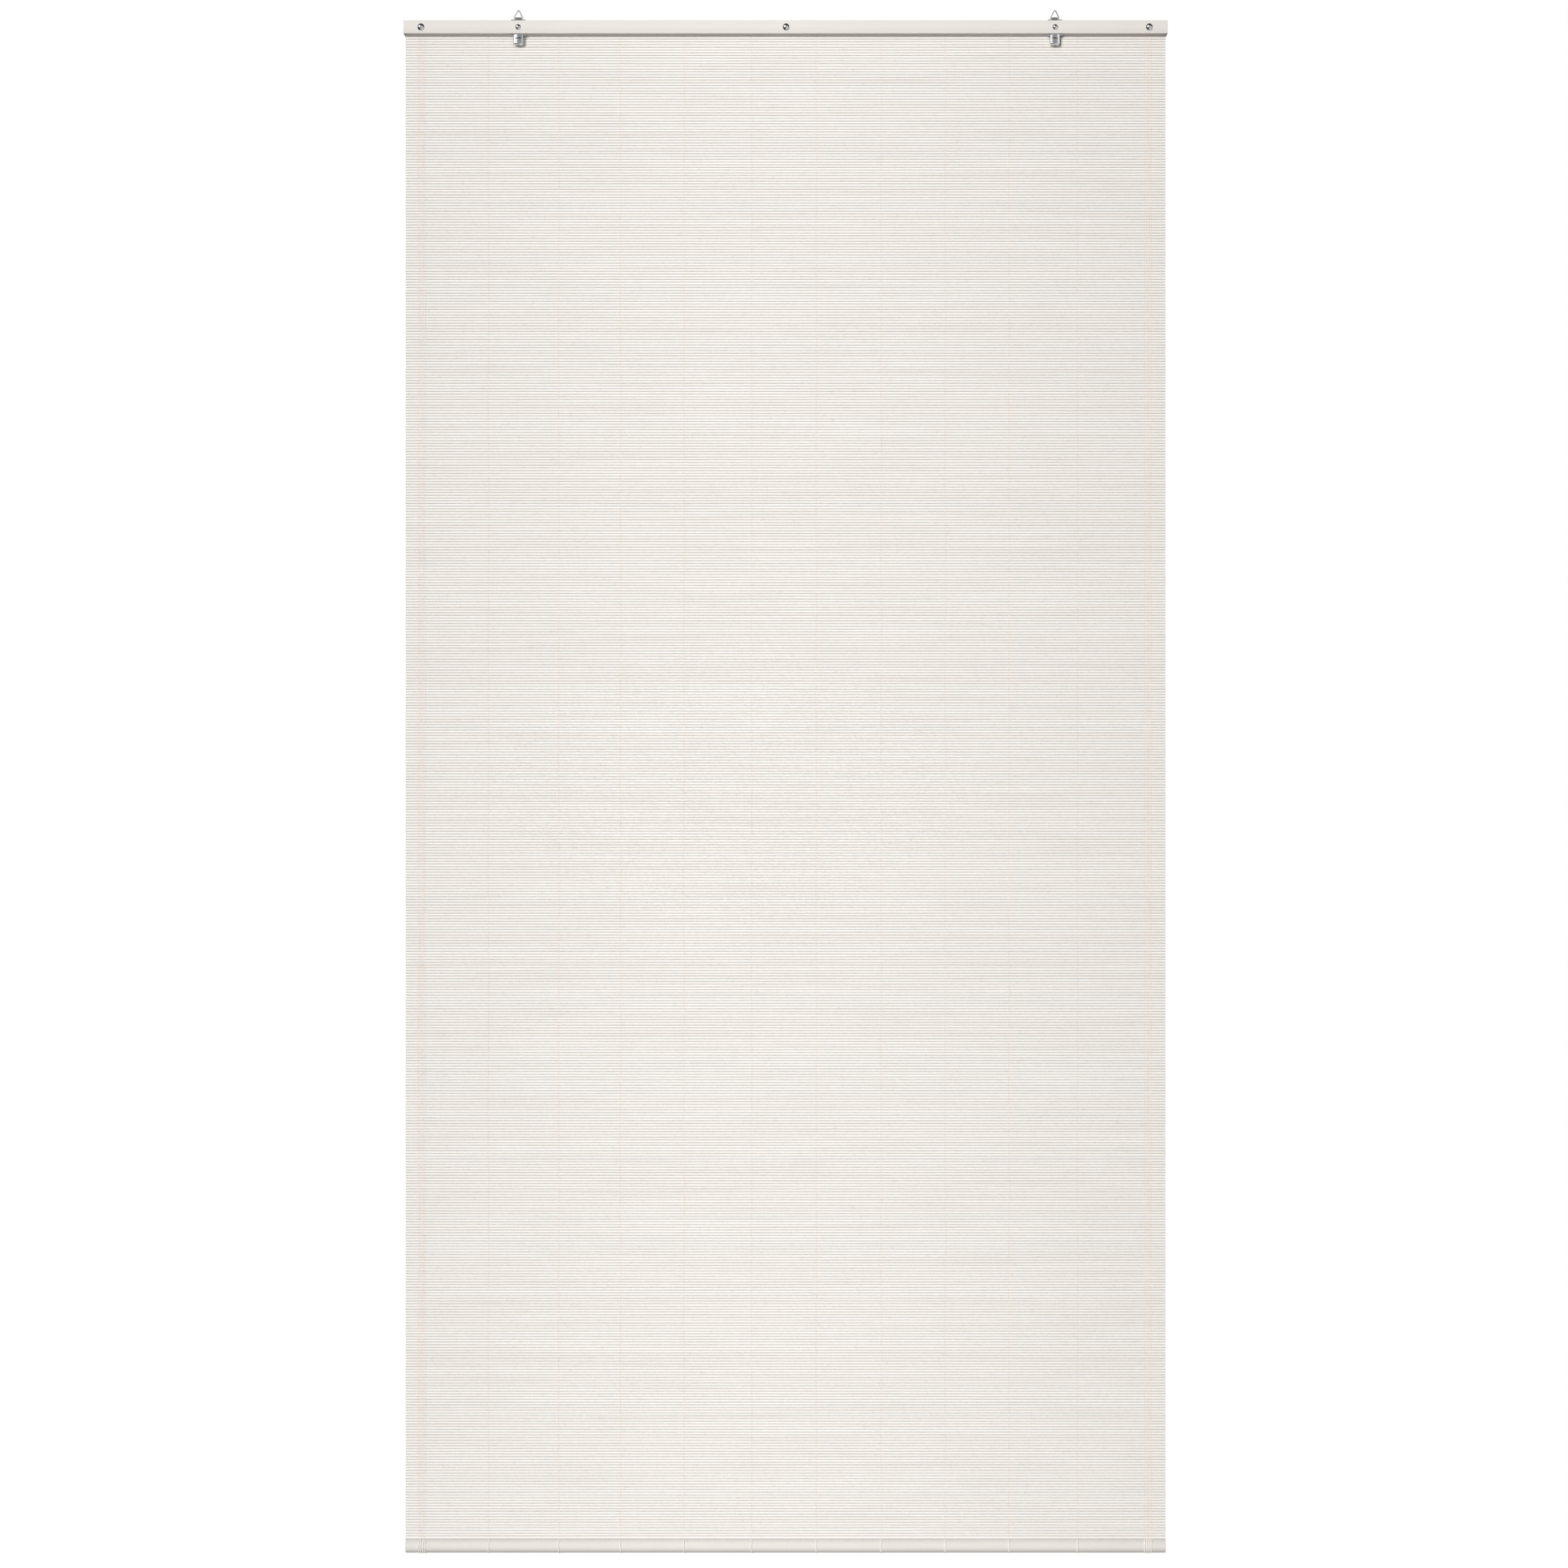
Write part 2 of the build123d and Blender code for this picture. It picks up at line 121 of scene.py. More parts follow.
def studio_brightness(tree):
    """What shiny metal mirrors: soft boxes left and right, a grey front and a bright lower right."""
    place = tree.nodes.new("ShaderNodeTexCoord")
    brightness = None
    for azimuth, elevation, inner, outer, level in STUDIO_LAMPS:
        azimuth, elevation = math.radians(azimuth), math.radians(elevation)
        towards = tree.nodes.new("ShaderNodeVectorMath")
        towards.operation = "DOT_PRODUCT"
        towards.inputs[1].default_value = (
            math.sin(azimuth) * math.cos(elevation),
            -math.cos(azimuth) * math.cos(elevation),
            math.sin(elevation),
        )
        tree.links.new(place.outputs["Generated"], towards.inputs[0])
        spot = tree.nodes.new("ShaderNodeMapRange")
        spot.interpolation_type = "SMOOTHSTEP"
        spot.inputs["From Min"].default_value = math.cos(math.radians(outer))
        spot.inputs["From Max"].default_value = math.cos(math.radians(inner))
        spot.inputs["To Max"].default_value = level
        tree.links.new(towards.outputs["Value"], spot.inputs["Value"])
        add = tree.nodes.new("ShaderNodeMath")
        add.operation = "ADD"
        if brightness is None:
            add.inputs[0].default_value = STUDIO_DARKNESS
        else:
            tree.links.new(brightness, add.inputs[0])
        tree.links.new(spot.outputs["Result"], add.inputs[1])
        brightness = add.outputs["Value"]
    return brightness


def make_world():
    world = bpy.data.worlds.new("studio")
    world.use_nodes = True
    bpy.context.scene.world = world
    tree = world.node_tree
    tree.nodes.clear()
    output = tree.nodes.new("ShaderNodeOutputWorld")
    ambient = tree.nodes.new("ShaderNodeBackground")
    ambient.inputs["Color"].default_value = (*AMBIENT_COLOUR, 1)
    ambient.inputs["Strength"].default_value = AMBIENT
    studio = tree.nodes.new("ShaderNodeBackground")
    studio.inputs["Color"].default_value = (1, 1, 1, 1)
    tree.links.new(studio_brightness(tree), studio.inputs["Strength"])
    white = tree.nodes.new("ShaderNodeBackground")
    white.inputs["Color"].default_value = (1, 1, 1, 1)
    path = tree.nodes.new("ShaderNodeLightPath")
    glossy = tree.nodes.new("ShaderNodeMixShader")
    tree.links.new(path.outputs["Is Glossy Ray"], glossy.inputs["Fac"])
    tree.links.new(ambient.outputs["Background"], glossy.inputs[1])
    tree.links.new(studio.outputs["Background"], glossy.inputs[2])
    seen = tree.nodes.new("ShaderNodeMixShader")
    tree.links.new(path.outputs["Is Camera Ray"], seen.inputs["Fac"])
    tree.links.new(glossy.outputs["Shader"], seen.inputs[1])
    tree.links.new(white.outputs["Background"], seen.inputs[2])
    tree.links.new(seen.outputs["Shader"], output.inputs["Surface"])


def make_key_light():
    data = bpy.data.lights.new("key", "SUN")
    data.energy = KEY_LEVEL
    data.angle = KEY_SOFTNESS
    data.color = KEY_COLOUR
    light = bpy.data.objects.new("key", data)
    towards = Vector((-math.tan(KEY_LEFT), -1, math.tan(KEY_ABOVE)))
    light.rotation_euler = towards.to_track_quat("Z", "Y").to_euler()
    light.visible_glossy = False
    bpy.context.scene.collection.objects.link(light)


def make_back_light():
    """A sun from above and behind, which lights the back and the floor but no front face."""
    data = bpy.data.lights.new("back", "SUN")
    data.energy = BACK_LEVEL
    data.angle = BACK_SOFTNESS
    light = bpy.data.objects.new("back", data)
    towards = Vector((math.tan(BACK_LEFT), 1, math.tan(BACK_ABOVE)))
    light.rotation_euler = towards.to_track_quat("Z", "Y").to_euler()
    light.visible_glossy = False
    bpy.context.scene.collection.objects.link(light)


def make_strip_light():
    """A tall soft box, a little left of the middle, whose light falls off towards both sides."""
    data = bpy.data.lights.new("strip", "AREA")
    data.shape = "RECTANGLE"
    data.size = STRIP_WIDTH
    data.size_y = STRIP_HEIGHT
    data.energy = STRIP_WATTS
    light = bpy.data.objects.new("strip", data)
    light.location = (*STRIP_PLACE, (RAIL_HIGH.z + BATTEN_LOW.z) / 2)
    light.rotation_euler = (math.pi / 2, 0, 0)
    light.visible_camera = False
    light.visible_glossy = False
    bpy.context.scene.collection.objects.link(light)


def make_floor():
    half = FLOOR_SIZE / 2
    height = BATTEN_LOW.z - FLOOR_DROP
    front = FLOOR_BACK - FLOOR_SIZE
    outline = [(-half, front), (half, front), (half, FLOOR_BACK), (-half, FLOOR_BACK)]
    corners = [(x, y, height) for x, y in outline]
    mesh = bpy.data.meshes.new("floor")
    mesh.from_pydata(corners, [], [(0, 1, 2, 3)])
    floor = bpy.data.objects.new("floor", mesh)
    bpy.context.scene.collection.objects.link(floor)
    finish = Finish("pale_floor", stretch=(1, 1, 1))
    finish.colours(finish.noise(3.0), [(0.3, (0.80, 0.80, 0.80)), (0.7, (0.83, 0.83, 0.83))])
    finish.shader.inputs["Roughness"].default_value = 0.7
    mesh.materials.append(finish.material)
    floor.visible_glossy = False
    floor.visible_diffuse = False


# Materials
class Finish:
    """A node material with a principled shader, whose textures lie still on the piece."""

    def __init__(self, name, stretch, follows_rest=False):
        self.material = bpy.data.materials.new(name)
        self.material.use_nodes = True
        self.nodes = self.material.node_tree.nodes
        self.links = self.material.node_tree.links
        self.shader = self.nodes["Principled BSDF"]
        if follows_rest:
            self.place = self.attribute("rest_place", "Vector")
        else:
            self.place = self.nodes.new("ShaderNodeTexCoord").outputs["Object"]
        self.stretch = stretch

    def attribute(self, name, output):
        node = self.nodes.new("ShaderNodeAttribute")
        node.attribute_name = name
        return node.outputs[output]

    def upward(self):
        """How far the surface faces up: 0 below, 0.5 on a wall and 1 on top."""
        normal = self.nodes.new("ShaderNodeTexCoord").outputs["Normal"]
        parts = self.nodes.new("ShaderNodeSeparateXYZ")
        self.links.new(normal, parts.inputs["Vector"])
        node = self.nodes.new("ShaderNodeMapRange")
        node.inputs["From Min"].default_value = -1.0
        self.links.new(parts.outputs["Z"], node.inputs["Value"])
        return node.outputs["Result"]

    def noise(self, scale, detail=3.0, stretch=None, place=None):
        mapping = self.nodes.new("ShaderNodeMapping")
        mapping.inputs["Scale"].default_value = stretch or self.stretch
        self.links.new(place or self.place, mapping.inputs["Vector"])
        texture = self.nodes.new("ShaderNodeTexNoise")
        texture.inputs["Scale"].default_value = scale
        texture.inputs["Detail"].default_value = detail
        self.links.new(mapping.outputs["Vector"], texture.inputs["Vector"])
        return texture.outputs["Fac"]

    def ramp(self, source, stops):
        node = self.nodes.new("ShaderNodeValToRGB")
        elements = node.color_ramp.elements
        while len(elements) < len(stops):
            elements.new(0.5)
        for element, (position, colour) in zip(elements, stops):
            element.position = position
            element.color = (*colour, 1)
        self.links.new(source, node.inputs["Fac"])
        return node.outputs["Color"]

    def mix(self, factor, first, second, blend="MIX"):
        node = self.nodes.new("ShaderNodeMix")
        node.data_type = "RGBA"
        node.blend_type = blend
        for socket, value in zip((node.inputs[0], node.inputs[6], node.inputs[7]), (factor, first, second)):
            if isinstance(value, bpy.types.NodeSocket):
                self.links.new(value, socket)
            elif isinstance(value, tuple):
                socket.default_value = (*value, 1)
            else:
                socket.default_value = value
        return node.outputs[2]

    def colour_from(self, output):
        self.links.new(output, self.shader.inputs["Base Color"])

    def colours(self, source, stops):
        self.colour_from(self.ramp(source, stops))

    def roughness(self, source, low, high):
        node = self.nodes.new("ShaderNodeMapRange")
        node.inputs["To Min"].default_value = low
        node.inputs["To Max"].default_value = high
        self.links.new(source, node.inputs["Value"])
        self.links.new(node.outputs["Result"], self.shader.inputs["Roughness"])

    def bump(self, height, strength, depth):
        node = self.nodes.new("ShaderNodeBump")
        node.inputs["Strength"].default_value = strength
        node.inputs["Distance"].default_value = depth
        self.links.new(height, node.inputs["Height"])
        before = self.shader.inputs["Normal"]
        if before.is_linked:
            self.links.new(before.links[0].from_socket, node.inputs["Normal"])
        self.links.new(node.outputs["Normal"], before)


def painted_batten():
    finish = Finish("painted_batten", stretch=(3, 60, 60))
    grain = finish.noise(9.0, detail=6.0)
    cloud = finish.noise(4.0, stretch=(1, 1, 1))
    paint = finish.ramp(cloud, [(0.3, (0.756, 0.73, 0.70)), (0.7, (0.78, 0.752, 0.72))])
    fibres = finish.ramp(grain, [(0.35, (0.978, 0.975, 0.97)), (0.6, (1, 1, 1))])
    painted = finish.mix(1.0, paint, fibres, "MULTIPLY")
    # Painted shade: down-facing faces are darkened, most on undersides, and flat tops are darkened too,
    # standing in for the shade these faces lie in
    painted_facing_shade = finish.ramp(
        finish.upward(),
        [
            (0.0, (0.70, 0.68, 0.65)),
            (0.1, (0.76, 0.74, 0.72)),
            (0.35, (0.955, 0.95, 0.945)),
            (0.5, (1, 1, 1)),
            (0.92, (1, 1, 1)),
            (1.0, (0.62, 0.60, 0.58)),
        ],
    )
    finish.colour_from(finish.mix(1.0, painted, painted_facing_shade, "MULTIPLY"))
    finish.roughness(grain, 0.38, 0.55)
    finish.bump(grain, 0.25, 0.3 * MM)
    finish.bump(finish.noise(900.0, stretch=(0.6, 1, 1)), 0.12, 0.05 * MM)
    return finish.material


def painted_bamboo():
    finish = Finish("painted_bamboo", stretch=(4, 60, 250), follows_rest=True)
    tone = finish.attribute("tone", "Fac")
    paint = finish.ramp(
        tone,
        [
            (0.0, (0.905, 0.875, 0.845)),
            (0.3, (0.925, 0.90, 0.87)),
            (0.7, (0.925, 0.905, 0.88)),
            (1.0, (0.905, 0.895, 0.88)),
        ],
    )
    streaks = finish.ramp(finish.noise(1.6), [(0.3, (0.935, 0.93, 0.92)), (0.62, (1, 1, 1))])
    painted = finish.mix(1.0, paint, streaks, "MULTIPLY")
    knots = finish.ramp(finish.attribute("knot", "Fac"), [(0.2, (1, 1, 1)), (1.0, (0.955, 0.95, 0.94))])
    faces = finish.mix(1.0, painted, knots, "MULTIPLY")
    # Painted shade: the slats' rolled edges are mixed towards grey-beige, standing in for the shade in the
    # grooves between slats
    finish.colour_from(finish.mix(finish.attribute("painted_groove_shade", "Fac"), faces, (0.575, 0.545, 0.515)))
    true_place = finish.nodes.new("ShaderNodeTexCoord").outputs["Object"]
    fibres = finish.noise(1.0, detail=4.0, stretch=(40, 2500, 2500), place=true_place)
    finish.roughness(fibres, 0.42, 0.62)
    finish.bump(fibres, 0.3, 0.08 * MM)
    return finish.material


def weaving_yarn():
    finish = Finish("weaving_yarn", stretch=(1, 1, 1), follows_rest=True)
    cloud = finish.noise(60.0)
    finish.colours(cloud, [(0.3, (0.77, 0.66, 0.57)), (0.7, (0.87, 0.78, 0.69))])
    finish.bump(finish.noise(5200.0), 0.5, 0.08 * MM)
    finish.shader.inputs["Roughness"].default_value = 0.88
    finish.shader.inputs["Sheen Weight"].default_value = 0.3
    return finish.material


def tying_cord():
    finish = Finish("tying_cord", stretch=(1, 1, 1))
    finish.colours(finish.noise(140.0), [(0.3, (0.83, 0.80, 0.755)), (0.7, (0.90, 0.88, 0.84))])
    finish.bump(finish.noise(1.0, detail=4.0, stretch=(4200, 2600, 900)), 0.5, 0.1 * MM)
    finish.shader.inputs["Roughness"].default_value = 0.85
    finish.shader.inputs["Sheen Weight"].default_value = 0.3
    return finish.material


def metal(name, dark, bright, smoothest, roughest, ripple):
    finish = Finish(name, stretch=(1, 1, 1))
    finish.shader.inputs["Metallic"].default_value = 1.0
    finish.colours(finish.noise(45.0), [(0.3, dark), (0.7, bright)])
    finish.roughness(finish.noise(320.0), smoothest, roughest)
    finish.bump(finish.noise(260.0), ripple, 0.1 * MM)
    return finish.material


def make_materials():
    return {
        "painted_batten": painted_batten(),
        "painted_bamboo": painted_bamboo(),
        "weaving_yarn": weaving_yarn(),
        "tying_cord": tying_cord(),
        "chrome_heads": metal("chrome_heads", (0.72, 0.72, 0.73), (0.82, 0.82, 0.82), 0.06, 0.12, 0.05),
        "plated_steel": metal("plated_steel", (0.66, 0.66, 0.68), (0.76, 0.76, 0.77), 0.12, 0.22, 0.12),
        "ring_wire": metal("ring_wire", (0.66, 0.66, 0.67), (0.76, 0.76, 0.76), 0.10, 0.18, 0.08),
        "zinc_steel": metal("zinc_steel", (0.52, 0.53, 0.54), (0.64, 0.64, 0.64), 0.28, 0.42, 0.2),
    }


# Meshes, smooth across edges that turn by less than these angles
SLAT_DEGREES = 50
ROUND_DEGREES = 80
CASE_DEGREES = 40


def add_piece(name, vertices, faces, material_slot, body, attributes=(), smooth_degrees=SLAT_DEGREES):
    mesh = bpy.data.meshes.new(name)
    mesh.from_pydata(vertices.tolist(), [], faces)
    mesh.shade_smooth()
    mesh.set_sharp_from_angle(angle=math.radians(smooth_degrees))
    for label, values in attributes:
        mesh.attributes.new(label, "FLOAT", "POINT").data.foreach_set("value", values.ravel())
    mesh.materials.append(materials[material_slot])
    piece = bpy.data.objects.new(name, mesh)
    bpy.context.scene.collection.objects.link(piece)
    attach(piece, body)
    return piece


def fold_with_lift(piece):
    mesh = piece.data
    places = np.empty(len(mesh.vertices) * 3, np.float32)
    mesh.vertices.foreach_get("co", places)
    mesh.attributes.new("rest_place", "FLOAT_VECTOR", "POINT").data.foreach_set("vector", places)
    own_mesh(piece)


def tube_faces(rings, sides, first, closed):
    faces = []
    for ring in range(rings if closed else rings - 1):
        here = first + ring * sides
        there = first + (ring + 1) % rings * sides
        for side in range(sides):
            after = (side + 1) % sides
            faces.append((here + side, here + after, there + after, there + side))
    if not closed:
        last = first + (rings - 1) * sides
        faces.append(tuple(range(first + sides - 1, first - 1, -1)))
        faces.append(tuple(range(last, last + sides)))
    return faces


def path_frames(points, reference, closed):
    if closed:
        along = np.roll(points, -1, axis=0) - np.roll(points, 1, axis=0)
    else:
        along = np.gradient(points, axis=0)
    along /= np.linalg.norm(along, axis=1, keepdims=True)
    across = reference - along * (along @ reference)[:, None]
    across /= np.linalg.norm(across, axis=1, keepdims=True)
    return across, np.cross(along, across)


def tube(points, reference, radii, sides, first=0, closed=False):
    """Vertices and faces of a round tube along points; radii are across and away from the reference."""
    across, away = path_frames(points, np.array(reference, float), closed)
    turns = np.arange(sides) * 2 * math.pi / sides
    ring = radii[0] * np.cos(turns)[None, :, None] * across[:, None, :]
    ring = ring + radii[1] * np.sin(turns)[None, :, None] * away[:, None, :]
    vertices = (points[:, None, :] + ring).reshape(-1, 3)
    return vertices, tube_faces(len(points), sides, first, closed)


# Mat: every slat is a bowed strip with its own size, tilt, waves and knots
SLAT_HALF_SECTION = [(-0.96, 0.26), (-0.78, 0.52), (-0.47, 0.73), (0.0, 0.89), (0.55, 1.01), (0.95, 0.80)]
SLAT_SECTION = [(-1.0, 0.0)] + SLAT_HALF_SECTION + [(y, -z) for y, z in reversed(SLAT_HALF_SECTION)]
# Painted shade per section point: 0 on the slat's front face, rising to 1 at its edges by the grooves, 0.3 at
# the back
HALF_GROOVE_SHADE = [0.0, 0.0, 0.15, 0.75, 1.0, 0.3]
SLAT_GROOVE_SHADE = [0.0] + HALF_GROOVE_SHADE + HALF_GROOVE_SHADE[::-1]
PLAIN_RINGS = 17
KNOTS = 3
KNOT_REACH = 4 * MM
KNOT_RISE = 0.07 * MM
KNOT_MARGIN = 20 * MM
END_SCATTER = 0.5 * MM


def slat_stations(count):
    """For each slat, the places along it that get a ring, and which of them are knots."""
    plain = np.tile(np.linspace(-1, 1, PLAIN_RINGS) * MAT_HALF_WIDTH, (count, 1))
    plain[:, 0] += rng.uniform(0, END_SCATTER, count)
    plain[:, -1] -= rng.uniform(0, END_SCATTER, count)
    spacing = 2 * MAT_HALF_WIDTH / KNOTS
    first = rng.uniform(KNOT_MARGIN, spacing - KNOT_MARGIN, (count, 1)) - MAT_HALF_WIDTH
    knots = first + np.arange(KNOTS) * spacing
    stations = np.hstack([plain, knots - KNOT_REACH, knots, knots + KNOT_REACH])
    before_knots, after_knots = np.zeros((count, PLAIN_RINGS + KNOTS)), np.zeros((count, KNOTS))
    is_knot = np.hstack([before_knots, np.ones((count, KNOTS)), after_knots])
    order = np.argsort(stations, axis=1)
    return np.take_along_axis(stations, order, 1), np.take_along_axis(is_knot, order, 1)


def waves(stations, amplitude, shortest, longest):
    """A gentle wave along each slat, of its own length and phase."""
    count = len(stations)
    length = rng.uniform(shortest, longest, (count, 1))
    phase = rng.uniform(0, 2 * math.pi, (count, 1))
    size = rng.uniform(0.4, 1.0, (count, 1)) * amplitude
    return size * np.sin(2 * math.pi * stations / length + phase)


def make_slats(number, first, last):
    count = last - first
    stations, is_knot = slat_stations(count)
    section = np.array(SLAT_SECTION)
    middle_z = MAT_HIGH.z - (np.arange(first, last) + 0.5) * PITCH
    shift_y = rng.normal(0, 0.04 * MM, (count, 1)) + waves(stations, 0.07 * MM, 0.25, 0.9)
    shift_z = waves(stations, 0.02 * MM, 0.3, 1.1)
    half_height = PITCH / 2 * (1 + waves(stations, 0.01, 0.1, 0.3))
    half_depth = MAT_HALF_DEPTH * rng.uniform(0.93, 1.0, (count, 1)) + KNOT_RISE * is_knot
    tilt = rng.normal(0, math.radians(2.2), (count, 1)) + waves(stations, math.radians(1.2), 0.3, 1.2)
    local_y = half_depth[:, :, None] * section[None, None, :, 0]
    local_z = half_height[:, :, None] * section[None, None, :, 1]
    vertices = np.empty((count, stations.shape[1], len(section), 3))
    vertices[..., 0] = MAT_MIDDLE_X + stations[:, :, None]
    vertices[..., 1] = MAT_MIDDLE_Y + shift_y[:, :, None] + local_y - local_z * np.sin(tilt)[:, :, None]
    vertices[..., 2] = middle_z[:, None, None] + shift_z[:, :, None] + local_z
    rings, sides = vertices.shape[1:3]
    faces = []
    for slat in range(count):
        faces += tube_faces(rings, sides, slat * rings * sides, closed=False)
    shape = vertices.shape[:3]
    tone = np.broadcast_to(rng.uniform(0, 1, (count, 1, 1)), shape)
    knot = np.broadcast_to(is_knot[:, :, None], shape)
    # Painted shade at the grooves between slats, per vertex
    painted_groove_shade = np.broadcast_to(np.array(SLAT_GROOVE_SHADE)[None, None, :], shape)
    attributes = []
    for label, values in (("tone", tone), ("knot", knot), ("painted_groove_shade", painted_groove_shade)):
        attributes.append((label, np.ascontiguousarray(values, np.float32)))
    points = vertices.reshape(-1, 3)
    piece = add_piece(f"slats_{number}", points, faces, "painted_bamboo", "headrail", attributes)
    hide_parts("mat")
    fold_with_lift(piece)


def make_mat():
    edges = np.linspace(0, SLAT_COUNT, BAND_COUNT + 1).astype(int)
    for number, (first, last) in enumerate(zip(edges, edges[1:]), start=1):
        make_slats(number, int(first), int(last))


# Warp yarns: the two yarns of a pair change sides and turn round each other between all slats
YARN_RADIUS = 0.27 * MM
YARN_SWAY = 0.3 * MM
YARN_SIDES = 4
YARN_WANDER = 0.35 * MM
YARN_JITTER = 0.05 * MM
EDGE_GROUP = 4
STITCH_HEIGHTS = np.array([0.33, 0.0, -0.33])
FRONT_STITCH = np.array([-0.66, -1.22, -0.66]) * MM
BACK_STITCH = np.array([1.18, 1.20, 1.18]) * MM


def yarn_path(x, partner, wander):
    points = []
    for slat in range(CLAMPED_SLATS, SLAT_COUNT):
        middle_z = MAT_HIGH.z - (slat + 0.5) * PITCH
        in_front = (slat + partner) % 2 == 0
        depths = FRONT_STITCH if in_front else BACK_STITCH
        sway = YARN_SWAY if in_front else -YARN_SWAY
        centre = x + wander[slat]
        for height, depth, side in zip(STITCH_HEIGHTS, depths, (-sway, 0, sway)):
            points.append((centre + side, MAT_MIDDLE_Y + depth, middle_z + height * PITCH))
    return np.array(points)


def yarn_places(number):
    """The middles of a node's warp yarn pairs, from its box: one, or the four of an edge group."""
    low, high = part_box(f"warp_yarn_{number:02d}")
    if number in SINGLE_YARNS:
        return [(low.x + high.x) / 2]
    half_yarn = (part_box("warp_yarn_02")[1].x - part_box("warp_yarn_02")[0].x) / 2
    return list(np.linspace(low.x + half_yarn, high.x - half_yarn, EDGE_GROUP))


def make_yarns(number):
    vertices, faces = [], []
    slats = np.arange(SLAT_COUNT)
    first = 0
    for x in yarn_places(number):
        length, phase = rng.uniform(60, 140), rng.uniform(0, 2 * math.pi)
        wander = YARN_WANDER * np.sin(2 * math.pi * slats / length + phase)
        wander = wander + rng.normal(0, YARN_JITTER, SLAT_COUNT)
        for partner in (0, 1):
            path = yarn_path(x, partner, wander)
            more, added = tube(path, (1, 0, 0), (YARN_RADIUS, YARN_RADIUS), YARN_SIDES, first)
            vertices.append(more)
            faces += added
            first += len(more)
    name = f"woven_yarn_{number:02d}"
    piece = add_piece(name, np.vstack(vertices), faces, "weaving_yarn", "headrail", (), ROUND_DEGREES)
    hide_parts(f"warp_yarn_{number:02d}")
    fold_with_lift(piece)


# Tying cords: two plies laid close round each other, once round the half-round bottom batten
PLY_RADIUS = 0.47 * MM
PLY_OFFSET = (0.44 * MM, 0.16 * MM)
CORD_TWISTS = 13
STEPS_PER_TWIST = 12
PLY_SIDES = 8
BATTEN_CROWN = 5.2 * MM
CORD_BACK_CORNER = 0.9 * MM


def batten_girth(growth, count):
    """Points spread evenly round the batten's section, this far outside it, as (y, z) from its middle."""
    half_height = (BATTEN_HIGH.z - BATTEN_LOW.z) / 2
    half_depth = (BATTEN_HIGH.y - BATTEN_LOW.y) / 2
    face_radius = (half_height**2 + BATTEN_CROWN**2) / (2 * BATTEN_CROWN)
    half_turn = math.asin(half_height / face_radius)
    turns = np.linspace(half_turn, -half_turn, 33)
    reach = face_radius + growth
    outline = [(face_radius - half_depth - reach * math.cos(a), reach * math.sin(a)) for a in turns]
    back, top = half_depth + growth - CORD_BACK_CORNER, half_height + growth - CORD_BACK_CORNER
    for side in (-1, 1):
        for a in np.linspace(-math.pi / 2, 0, 7) if side < 0 else np.linspace(0, math.pi / 2, 7):
            outline.append((back + CORD_BACK_CORNER * math.cos(a), side * top + CORD_BACK_CORNER * math.sin(a)))
    outline = np.array(outline + outline[:1])
    walked = np.concatenate([[0], np.cumsum(np.linalg.norm(np.diff(outline, axis=0), axis=1))])
    marks = np.linspace(0, walked[-1], count, endpoint=False)
    return np.interp(marks, walked, outline[:, 0]), np.interp(marks, walked, outline[:, 1])


def cord_core(x):
    half_height = (BATTEN_HIGH.z - BATTEN_LOW.z) / 2
    y, z = batten_girth(PLY_RADIUS + PLY_OFFSET[1], CORD_TWISTS * STEPS_PER_TWIST)
    height = z / half_height
    bow, lean = rng.uniform(0.25, 0.7) * MM, rng.uniform(-0.3, 0.3) * MM
    across = x + bow * (height**2 - 0.5) + lean * height
    middle = (BATTEN_LOW + BATTEN_HIGH) / 2
    return np.column_stack([across, middle.y + y, middle.z + z])


def cord_places(number):
    low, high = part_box(f"batten_loop_{number:02d}")
    if number in SINGLE_YARNS:
        return [(low.x + high.x) / 2]
    half_cord = (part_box("batten_loop_02")[1].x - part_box("batten_loop_02")[0].x) / 2
    return list(np.linspace(low.x + half_cord, high.x - half_cord, EDGE_GROUP))


def make_cords(number):
    vertices, faces = [], []
    first = 0
    for x in cord_places(number):
        core = cord_core(x)
        across, away = path_frames(core, np.array((1.0, 0, 0)), closed=True)
        turns = np.linspace(0, CORD_TWISTS * 2 * math.pi, len(core), endpoint=False)
        turns = turns + rng.uniform(0, math.pi)
        for ply in (0, math.pi):
            offset = PLY_OFFSET[0] * np.cos(turns + ply)[:, None] * across
            offset = offset + PLY_OFFSET[1] * np.sin(turns + ply)[:, None] * away
            radii = (PLY_RADIUS, PLY_RADIUS)
            more, added = tube(core + offset, (1, 0, 0), radii, PLY_SIDES, first, closed=True)
            vertices.append(more)
            faces += added
            first += len(more)
    name = f"tying_cord_{number:02d}"
    piece = add_piece(name, np.vstack(vertices), faces, "tying_cord", "bottom_rail", (), ROUND_DEGREES)
    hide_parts(f"batten_loop_{number:02d}")


# Rings: round wire bent to a triangle
RING_BEND = 1.5 * MM
RING_HALF_TOP = 1.2 * MM
RING_SIDES = 20


def bent_path(corners, radius, steps=8):
    """A closed path through corners, each rounded by an arc."""
    path = []
    for index, corner in enumerate(corners):
        before, after = corners[index - 1] - corner, corners[(index + 1) % len(corners)] - corner
        inward, outward = before / np.linalg.norm(before), after / np.linalg.norm(after)
        half_angle = math.acos(float(inward @ outward)) / 2
        reach = min(radius / math.tan(half_angle), 0.45 * np.linalg.norm(before), 0.45 * np.linalg.norm(after))
        start, end = corner + inward * reach, corner + outward * reach
        for t in np.linspace(0, 1, steps):
            path.append((1 - t) ** 2 * start + 2 * t * (1 - t) * corner + t**2 * end)
    return np.array(path)


